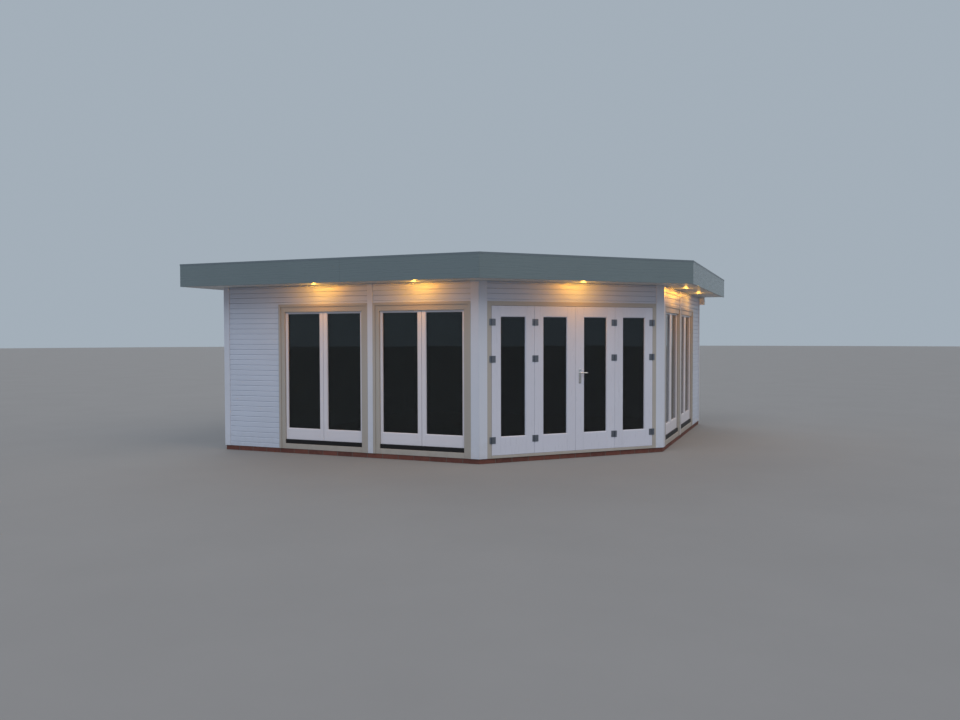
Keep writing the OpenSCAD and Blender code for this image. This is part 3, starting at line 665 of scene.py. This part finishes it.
def rounded_ring(a0, a1, b0, b1, radii, parts=5):
    """The outline of an oblong; radii are those of its corners from the lowest on round."""
    ring = []
    for (a, b, start), r in zip(((a0, b0, 180), (a1, b0, 270), (a1, b1, 0), (a0, b1, 90)), radii):
        centre = (a + (r if a == a0 else -r), b + (r if b == b0 else -r))
        for i in range(parts + 1 if r else 1):
            turn = radians(start + 90 / parts * i)
            ring.append((centre[0] + r * cos(turn), centre[1] + r * sin(turn)))
    return ring


def rounded_plate(shape, s0, s1, z0, z1, radii, d0, d1):
    """A plate on the wall's face, from depth d0 to d1."""
    ring = rounded_ring(s0, s1, z0, z1, radii)
    add_length(shape, [(s, d0, z) for s, z in ring], [(s, d1, z) for s, z in ring])


def add_round(shape, rings, sides=16):
    """A solid turned about a line; each ring is (centre, across, upward), both scaled to size."""
    turns = [2 * pi * i / sides for i in range(sides)]
    made = [[shape.verts.new(centre + across * cos(turn) + upward * sin(turn)) for turn in turns]
        for centre, across, upward in rings]
    faces = [shape.faces.new(made[0]), shape.faces.new(made[-1][::-1])]
    for low, high in zip(made, made[1:]):
        for i in range(sides):
            faces.append(shape.faces.new((low[i - 1], low[i], high[i], high[i - 1])))
    bmesh.ops.recalc_face_normals(shape, faces=faces)


def turned(shape, centre, axis, steps, sides=16):
    """Rings along an axis; steps are (distance along it, radius)."""
    axis = Vector(axis)
    across = Vector((0, 0, 1)) if abs(axis.z) < 0.5 else Vector((1, 0, 0))
    upward = axis.cross(across)
    add_round(shape, [(Vector(centre) + axis * far, across * r, upward * r) for far, r in steps], sides)


def drive_screw(heads, slots, s, d, z, r):
    """A countersunk screw in the wall's face, with a cross cut in its head."""
    turned(heads, (s, d, z), (0, -1, 0), [(0.0, r), (0.0003, r), (0.0006, r * 0.7)], 12)
    for long_s, long_z in ((r * 0.55, r * 0.11), (r * 0.11, r * 0.55)):
        add_block(slots, s - long_s, s + long_s, d - 0.00075, d - 0.0004, z - long_z, z + long_z)


hinge_h, flap_t, pin_r, knuckle_r, screw_r = 0.082, 0.003, 0.0044, 0.006, 0.0042
wide_flap, narrow_flap, flap_corner, pin_gap, round_off = 0.052, 0.030, 0.005, 0.0006, 0.0007
flap_face, pin_d = leaf_front - flap_t, leaf_front - 0.0063
hinge_rows, hinge_joints = (0.218, 1.199, 1.645), (0, 1, 3, 4)
knuckle_pitch = (hinge_h - 0.0024) / 5
knuckle_h = knuckle_pitch - 0.0005
hinges, screws, slots = bmesh.new(), bmesh.new(), bmesh.new()
for joint in hinge_joints:
    for height in hinge_rows:
        s, z, r = first_leaf - 0.001 + joint * leaf_pitch, plinth_top + height, flap_corner
        flaps = (narrow_flap, wide_flap) if joint < 3 else (wide_flap, narrow_flap)
        low, high = z - hinge_h / 2, z + hinge_h / 2
        rounded_plate(hinges, s - flaps[0], s - pin_gap, low, high, (r, 0, 0, r), leaf_front, flap_face)
        rounded_plate(hinges, s + pin_gap, s + flaps[1], low, high, (0, r, r, 0), leaf_front, flap_face)
        for way, flap in zip((-1, 1), flaps):
            spots = [(0.0185, -0.028), (0.0185, 0.0), (0.0185, 0.028)]
            if flap == wide_flap:
                spots = [(0.0135, -0.029), (0.0435, -0.011), (0.0435, 0.011), (0.0135, 0.029)]
            for off, up in spots:
                drive_screw(screws, slots, s + way * off, flap_face, z + up, screw_r)
        turned(hinges, (s, pin_d, low), (0, 0, 1), [(0.0002, pin_r - 0.0008), (0.001, pin_r),
            (hinge_h - 0.001, pin_r), (hinge_h - 0.0002, pin_r - 0.0008)])
        for knuckle in range(5):
            foot = low + 0.0012 + knuckle * knuckle_pitch
            turned(hinges, (s, pin_d, foot), (0, 0, 1), [(0, knuckle_r - round_off),
                (round_off, knuckle_r), (knuckle_h - round_off, knuckle_r),
                (knuckle_h, knuckle_r - round_off)])
ease_edges(slots, 0.00005, 1)
fit_piece("square_steel_hinges", hinges, satin_steel("dark_satin_steel", (0.19, 0.215, 0.26), 0.45),
    ["door_hinges"], on_door, rounded=True)
fit_piece("hinge_screws", screws, satin_steel("screw_steel", (0.30, 0.31, 0.33), 0.35),
    (), on_door, rounded=True)
fit_piece("hinge_screw_crosses", slots, black_coat, (), on_door)


# Handle. A polished steel lever on a long plate, screwed to both faces of the third
# leaf, with the key cylinder in its lower half.
def add_lever(shape, stations):
    """A bar swept level; stations are (along, in, half its thickness, half its height)."""
    points, rings = [Vector((s, d, 0)) for s, d, _, _ in stations], []
    for i, (_, _, half_t, half_h) in enumerate(stations):
        ahead, behind = points[min(i + 1, len(points) - 1)], points[max(i - 1, 0)]
        side = (ahead - behind).normalized().cross(Vector((0, 0, 1)))
        rings.append((points[i], side * half_t, Vector((0, 0, half_h))))
    add_round(shape, rings, 20)


lever_s, lever_z = first_leaf + 2 * leaf_pitch + leaf_stile / 2, plinth_top + 1.012
lever_stations = [
    (0, -0.003, 0.0085, 0.0085), (0, -0.014, 0.0076, 0.0076), (0, -0.024, 0.0074, 0.0076),
    (0.0016, -0.0305, 0.0073, 0.0078), (0.006, -0.035, 0.007, 0.008), (0.013, -0.0365, 0.0065, 0.008),
    (0.026, -0.0365, 0.0058, 0.008), (0.046, -0.0362, 0.0052, 0.0079), (0.066, -0.0355, 0.0049, 0.0077),
    (0.082, -0.0345, 0.0048, 0.0074), (0.092, -0.0336, 0.0046, 0.007), (0.098, -0.033, 0.0038, 0.0058),
    (0.1005, -0.0328, 0.0016, 0.003)]
plate_half_w, plate_low, plate_high, plate_t, key_z = 0.018, -0.133, 0.050, 0.004, -0.100
outward = (0, -1, 0)
handle_steel = satin_steel("bright_handle_steel", (0.74, 0.74, 0.75), 0.24)
dark_steel = satin_steel("dark_screw_steel", (0.1, 0.1, 0.105), 0.4)
for side, face_d, way in (("outer", leaf_front, 1), ("inner", leaf_back, -1)):
    handle, heads = bmesh.new(), bmesh.new()
    for step_in, r, d0, d1 in ((0.0, 0.008, 0.0, -0.0028), (0.0025, 0.006, -0.0026, -plate_t)):
        rounded_plate(handle, step_in - plate_half_w, plate_half_w - step_in, plate_low + step_in,
            plate_high - step_in, (r,) * 4, d0, d1)
    ease_edges(handle, 0.0009)
    turned(handle, (0, -plate_t, 0), outward, [(0, 0.014), (0.0024, 0.014), (0.0036, 0.0122),
        (0.0038, 0.0095)], 28)
    add_lever(handle, lever_stations)
    turned(handle, (0, -plate_t, key_z), outward, [(0, 0.0085), (0.0017, 0.0085), (0.0022, 0.0078)], 24)
    rounded_plate(handle, -0.0052, 0.0052, key_z - 0.025, key_z - 0.002, (0.005, 0.005, 0, 0), -0.0039,
        -0.0058)
    for up in (0.031, -0.045):
        turned(heads, (0, -plate_t, up), outward, [(0.0, 0.004), (0.0004, 0.004), (0.0008, 0.0026)], 14)
    add_block(heads, -0.0006, 0.0006, -0.0064, -0.0058, key_z - 0.0045, key_z + 0.0045)
    place = on_door @ Matrix.Translation((lever_s, face_d, lever_z)) @ Matrix.Diagonal((1, way, 1, 1))
    if way < 0:
        for shape in (handle, heads):
            bmesh.ops.reverse_faces(shape, faces=shape.faces)
    fit_piece(side + "_lever_handle", handle, handle_steel,
        ["door_handle"] if way > 0 else (), place, rounded=True)
    fit_piece(side + "_handle_screws", heads, dark_steel, (), place)


# Ceiling and soffit. Painted boards close the roof from below; outside they run
# along each wall and are mitred at the corners.
soffit_boards, surface, place = new_finish("white_soffit_boards", 0.45)
split = node(place, "SeparateXYZ", {"Vector": place})
x, y = split.outputs["X"], split.outputs["Y"]
ahead = maths("SUBTRACT", front_y, y)
past_door = maths("ADD", maths("SUBTRACT", x, right_x - corner_cut), ahead)
slant = maths("DIVIDE", past_door, sqrt(2))
sideways = maths("MAXIMUM", maths("SUBTRACT", x, right_x), maths("SUBTRACT", left_x, x))
off_wall = maths("MAXIMUM", maths("MAXIMUM", ahead, slant), sideways)
groove = spread(maths("PINGPONG", off_wall, 0.0475), 0.0, 0.003, 1.0, 0.0)
cloud = noise(place, 3.0, 4, 0.55)
paint = blend_colours(cloud, (0.62, 0.615, 0.60), (0.68, 0.675, 0.66))
paint = blend_colours(groove, paint, (0.30, 0.29, 0.27))
lay_on(surface, paint, maths("MULTIPLY", groove, -1.0), 0.002)

dress(soffit_boards, "soffit_paint", "soffit")
dress(painted_lining, "ceiling_board", "ceiling")


# Soffit lights. Five round white fittings with frosted lenses are let into the soffit,
# one over each window and one over the door. Each burns with a warm light, strong
# close to the lens and spread wide down the wall.
frosted_lens, surface, place = new_finish("frosted_warm_lens", 0.5, Emission_Strength=2.5)
frost = noise(place, 300, 2, 0.5)
warm = blend_colours(frost, (1.0, 0.74, 0.34), (1.0, 0.82, 0.46))
surface.id_data.links.new(warm, surface.inputs["Emission Color"])
lay_on(surface, warm, frost, 0.0003)

white_enamel = flecked("white_enamel_rim", 0.28, (0.74, 0.74, 0.72), (0.80, 0.80, 0.78), (60, 3, 0.5),
    0.0002, pits=(500, 2, 0.5))
dress(white_enamel, "light_rim", "light_rims")
dress(frosted_lens, "light_lens", "light_lenses")
lamp_size = 0.02
lamp_kinds = (("POINT", 0.9, 0.180, 0.035, (1.0, 0.50, 0.06)),
    ("SPOT", 10.6, 0.360, 0.006, (1.0, 0.385, 0.015)))
light_places = [(wall, left + window_w / 2) for wall, left in window_places]
light_places.insert(2, ("door", door_run / 2))
for n, (wall, s) in enumerate(light_places, 1):
    for kind, energy, off_wall, drop, tint in lamp_kinds:
        lamp = bpy.data.lights.new("soffit_lamp_%d_%s" % (n, kind.lower()), kind)
        lamp.energy, lamp.color, lamp.shadow_soft_size = energy, tint, lamp_size
        if kind == "SPOT":
            lamp.spot_size, lamp.spot_blend = pi, 0.0
        stand = add_object(lamp.name, lamp)
        stand.location = stand_on(wall) @ Vector((s, -off_wall, soffit_under - drop))
        stand.visible_camera = False


# Roof. Softwood rim joists stand round a boarded deck that falls to the back; a single
# sheet of black rubber is bonded over the deck and turned up and over the rim.
roof_rubber, surface, place = new_finish("black_roof_rubber", 0.72)
dust = noise(place, 1.1, 8, 0.62)
ripple = noise(scaled(place, 1.0, 3.0, 1.0), 1.4, 2, 0.4)
plain = ((1, 1, 1), (1, 1, 1), (0, 0, 0))
boards = staggered(place, plain, 2.4, 0.6, 0.006, 1.0, 0.5)["Fac"]
colour = blend_colours(spread(dust, 0.40, 0.72), (0.028, 0.029, 0.031), (0.085, 0.084, 0.08))
colour = blend_colours(maths("MULTIPLY", boards, 0.35), colour, (0.11, 0.108, 0.10))
gloss = spread(dust, 0.35, 0.7, 0.58, 0.85)
swell = maths("ADD", maths("MULTIPLY", ripple, 6.0), maths("MULTIPLY", boards, 0.8))
lay_on(surface, colour, maths("ADD", swell, dust), 0.0025, gloss=gloss)

sawn_timber = flecked("sawn_roof_timber", 0.75, (0.42, 0.29, 0.16), (0.56, 0.42, 0.26), (1.0, 6, 0.6),
    0.0008, stretch=(2, 2, 70))
dress(sawn_timber, "roof_timber", "rim_joists", "roof_deck")
dress(roof_rubber, "roof_rubber", "roof_sheet")


# Fascia. Deep boards painted grey-green hang round the roof's edge, mitred at the
# corners and butted along the long sides; a plain board closes the back between them.
overhang, fascia_t, fascia_top = 0.400, 0.022, 2.494
rear_run, rear_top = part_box("fascia")[1].y - back_y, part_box("fascia")[0].z + 0.12772


def run_round(shape, profile, wall, joints, gap):
    """A profile of (distance out from the wall, height) run along one side of the roof."""
    corner, place, nick = list(walls).index(wall), stand_on(wall), step_along(wall)
    stations = [[(*(corner_at(corner, out, rear_run) + nick), z) for out, z in profile]]
    for s in joints:
        for side in (-gap / 2, gap / 2):
            stations.append([place @ Vector((s + side, -out, z)) for out, z in profile])
    stations.append([(*(corner_at(corner + 1, out, rear_run) - nick), z) for out, z in profile])
    for near, far in zip(stations[::2], stations[1::2]):
        add_length(shape, near, far, chance.random())


fascia_inner = overhang - fascia_t
fascia_section = oblong(overhang, fascia_inner, soffit_under, fascia_top)
fascia_boards = bmesh.new()
for wall, joints in {"front": (2.05,), "door": (), "right": (1.75,), "left": (2.9,)}.items():
    run_round(fascia_boards, fascia_section, wall, joints, 0.0006)
add_block(fascia_boards, left_x - fascia_inner + fit_gap, right_x + fascia_inner - fit_gap, back_y,
    back_y + fascia_t, soffit_under, rear_top)
ease_edges(fascia_boards, 0.0016)
fascia_paint = painted_timber("grey_green_fascia_paint", (0.145, 0.19, 0.205), (2.5, 2.5, 60), 0.28,
    soiled=False)
fit_piece("deep_fascia_boards", fascia_boards, fascia_paint, ["fascia"])


# Edge trim. A light grey coated metal angle with a raised outer rib is screwed over the
# top edge of the fascia and holds the rubber down; its lengths of 1 to 2 m butt together.
trim_out, trim_top, screw_z, screw_pitch, corner_reach = 0.4015, 2.5, 2.4835, 0.4, 0.05
trim_section = [(0.400, 2.478), (0.4016, 2.478), (0.4016, 2.4893), (0.403, 2.4912), (0.403, 2.4992),
    (0.4022, trim_top), (0.393, trim_top), (0.3915, 2.4988), (0.3575, 2.4988), (0.3575, 2.4972),
    (0.400, 2.4972)]
trim_joints = {"front": (1.35, 2.7), "door": (1.3,), "right": (1.1, 2.4), "left": (1.4, 2.8, 4.2)}
angle, heads = bmesh.new(), bmesh.new()
for wall, joints in trim_joints.items():
    run_round(angle, trim_section, wall, joints, 0.0012)
    first = -corner_reach if wall in ("front", "left") else 0.0
    last = walls[wall][3] + (corner_reach if wall in ("right", "left") else 0.0)
    count = round((last - first) / screw_pitch)
    place = stand_on(wall)
    for i in range(count + 1):
        spot = place @ Vector((first + (last - first) * i / count, -trim_out, screw_z))
        turned(heads, spot, place.to_3x3() @ Vector(outward),
            [(0, 0.0042), (0.0007, 0.0038), (0.0013, 0.0022)], 12)
trim_coat = flecked("light_grey_edge_trim", 0.36, (0.13, 0.17, 0.195), (0.155, 0.195, 0.22),
    (5, 6, 0.6), 0.0015, pits=(3, 2, 0.4), strength=0.5)
fit_piece("roof_edge_angle", angle, trim_coat, ["edge_trim"])
fit_piece("edge_angle_screws", heads, trim_coat, (), rounded=True)


# Rainwater goods. A square white plastic gutter hangs behind the back wall in three
# lengths, with a socket at each joint and a strap bracket every 0.9 m, and drains
# through a square downpipe that is clipped to the wall.
plastic, surface, place = new_finish("white_gutter_plastic", 0.3)
grime = noise(scaled(place, 3, 3, 12), 1.0, 6, 0.6)
colour = blend_colours(spread(grime, 0.5, 0.8, 0.0, 0.5), (0.72, 0.725, 0.73), (0.56, 0.56, 0.54))
lay_on(surface, colour, noise(place, 2.5, 2, 0.4), 0.002, 0.4)
gutter_back, gutter_front, gutter_floor, gutter_rim, gutter_t = -0.008, -0.118, 2.075, 2.2, 0.003


def gutter_outline(grow, rim):
    """The gutter's outside, grown all round: down the back, along and up the front."""
    back, ahead, low = gutter_back + grow, gutter_front - grow, gutter_floor - grow
    return [(back, rim), (back, low + 0.008), (back - 0.006, low), (ahead + 0.010, low),
        (ahead, low + 0.010), (ahead, rim)]


def gutter_ring(grow, rim, t, lip=0.0):
    """The gutter's U-shaped section; lip turns its front rim inwards."""
    outer = gutter_outline(grow, rim)
    back, low, ahead = outer[0][0], outer[2][1], outer[5][0]
    turn = [(ahead + lip, rim), (ahead + lip, rim - t)] if lip else []
    return outer + turn + [(ahead + t, rim - (t if lip else 0)), (ahead + t, low + 0.0112),
        (ahead + 0.0112, low + t), (back - 0.0072, low + t), (back - t, low + 0.0092), (back - t, rim)]


def add_pipe(shape, s_mid, d_mid, half, t, z0, z1, corner=0.006):
    """A square pipe with rounded corners, open at both ends."""
    loops = [rounded_ring(s_mid - out, s_mid + out, d_mid - out, d_mid + out, (r,) * 4, 3)
        for out, r in ((half, corner), (half - t, corner - t / 2))]
    made = [[shape.verts.new((s, d, z)) for s, d in loop] for loop in loops for z in (z0, z1)]
    faces = []
    for a, b in ((0, 1), (3, 2), (2, 0), (1, 3)):
        for i in range(len(made[0])):
            faces.append(shape.faces.new((made[a][i - 1], made[a][i], made[b][i], made[b][i - 1])))
    bmesh.ops.recalc_face_normals(shape, faces=faces)


gutter_end, strap_count, strap_in, strap_half, socket_half, cap_w = 0.085, 7, 0.12, 0.012, 0.045, 0.022
far_end, on_back = long_run + gutter_end, stand_on("back")
socket = gutter_ring(0.0022, 2.196, 0.0021)
trough, bands, pipe, heads = bmesh.new(), bmesh.new(), bmesh.new(), bmesh.new()
stops = [-gutter_end + gutter_t, 1.75, 3.65, far_end - gutter_t]
for s0, s1 in zip(stops, stops[1:]):
    add_run(trough, gutter_ring(0, gutter_rim, gutter_t, 0.009), s0 + 0.001, s1 - 0.001)
for s in stops[1:3]:
    add_run(bands, socket, s - socket_half, s + socket_half)
for i in range(strap_count):
    s = strap_in + i * (long_run - 2 * strap_in) / (strap_count - 1)
    add_run(bands, gutter_ring(0.0028, 2.188, 0.0027), s - strap_half, s + strap_half)
for s0, s1, inner in ((-gutter_end, stops[0], stops[0]), (stops[3], far_end, stops[3] - cap_w)):
    add_run(trough, gutter_outline(0, gutter_rim), s0, s1)
    add_run(bands, socket, inner, inner + cap_w)
ease_edges(bands, 0.0006, 1)

pipe_s, pipe_d, pipe_half, collar_d, collar_corner = 0.250, -0.0325, 0.0325, -0.0361, 0.008
add_pipe(pipe, pipe_s, pipe_d, pipe_half, 0.003, 0.090, gutter_floor)
for foot, tall in ((2.030, 0.045), (1.150, 0.060)):
    for top, grow in ((foot + tall, 0.0022), (foot + 0.006, 0.0032)):
        add_pipe(pipe, pipe_s, collar_d, pipe_half + grow, grow, foot, top, collar_corner)
clip_h, clip_face, clip_screw = 0.026, -0.0045, 0.045
for z in (1.90, 1.05, 0.30):
    add_pipe(pipe, pipe_s, collar_d, 0.0352, 0.0025, z, z + clip_h, collar_corner)
    for way in (-1, 1):
        near, far = sorted((way * 0.034, way * 0.054))
        add_block(pipe, pipe_s + near, pipe_s + far, clip_face, -fit_gap, z, z + clip_h)
        turned(heads, (pipe_s + way * clip_screw, clip_face, z + clip_h / 2), outward,
            [(0, 0.0046), (0.0008, 0.0042), (0.0015, 0.0024)], 12)
fit_piece("square_gutter", trough, plastic, ["gutter"], on_back)
fit_piece("gutter_sockets_and_straps", bands, plastic, (), on_back)
fit_piece("square_downpipe", pipe, plastic, ["downpipe"], on_back, rounded=True)
fit_piece("pipe_clip_screws", heads, black_coat, (), on_back, rounded=True)


# The view. The camera stands at eye height, left of the line that faces the door; a
# grey floor and three wide, soft lights with an even glow stand in for the evening.
sight = bpy.data.cameras.new("garden_view")
sight.lens, sight.sensor_width, sight.clip_end = 30.96, 36, 300
camera = scene.camera = add_object("garden_view", sight)
camera_place, camera_turn, camera_dip, camera_roll = (4.6005, -11.819, 1.536), 21.825, 1.653, -0.116
camera.matrix_world = (Matrix.Translation(camera_place) @ Matrix.Rotation(radians(camera_turn), 4, "Z")
    @ Matrix.Rotation(radians(90 - camera_dip), 4, "X") @ Matrix.Rotation(radians(camera_roll), 4, "Z"))

floor_shape = bmesh.new()
bmesh.ops.create_circle(floor_shape, cap_ends=True, radius=120, segments=96)
studio_floor = add_object("studio_floor", as_mesh("studio_floor", floor_shape))
studio_floor.location.z = -0.0006
floor_finish, surface, place = new_finish("grey_floor", 0.9)
plain = blend_colours(noise(place, 0.8, 5, 0.6), (0.21, 0.21, 0.21), (0.24, 0.24, 0.24))
surface.id_data.links.new(plain, surface.inputs["Base Color"])
studio_floor.data.materials.append(floor_finish)

world = scene.world = bpy.data.worlds.new("studio")
world.use_nodes = True
tree = world.node_tree
tree.nodes.clear()
rays = node(tree, "LightPath").outputs
mirrored = maths("MAXIMUM", rays["Is Glossy Ray"], rays["Is Transmission Ray"])
seen = maths("MAXIMUM", rays["Is Camera Ray"], mirrored)
backdrop = node(tree, "Background", {"Color": (0.37, 0.43, 0.49, 1), "Strength": 1.0})
ambient = node(tree, "Background", {"Color": (0.77, 0.87, 1.05, 1), "Strength": 0.5})
both = node(tree, "MixShader", {0: seen, 1: ambient.outputs[0], 2: backdrop.outputs[0]})
node(tree, "OutputWorld", {"Surface": both.outputs[0]})


def soft_sun(name, strength, tint, turn, height, size=50):
    """A wide, distant light; turn, height and size are in degrees."""
    lamp = bpy.data.lights.new(name, "SUN")
    lamp.energy, lamp.color, lamp.angle = strength, tint, radians(size)
    add_object(name, lamp).rotation_euler = (radians(90 - height), 0, radians(turn))


soft_sun("front_left_light", 1.0, (0.96, 0.98, 1.0), 5, 46)
soft_sun("right_light", 0.85, (1.0, 0.86, 0.70), 85, 46)
soft_sun("rear_left_light", 0.5, (1.0, 0.98, 0.95), 215, 40)

scene.view_settings.view_transform = "Standard"
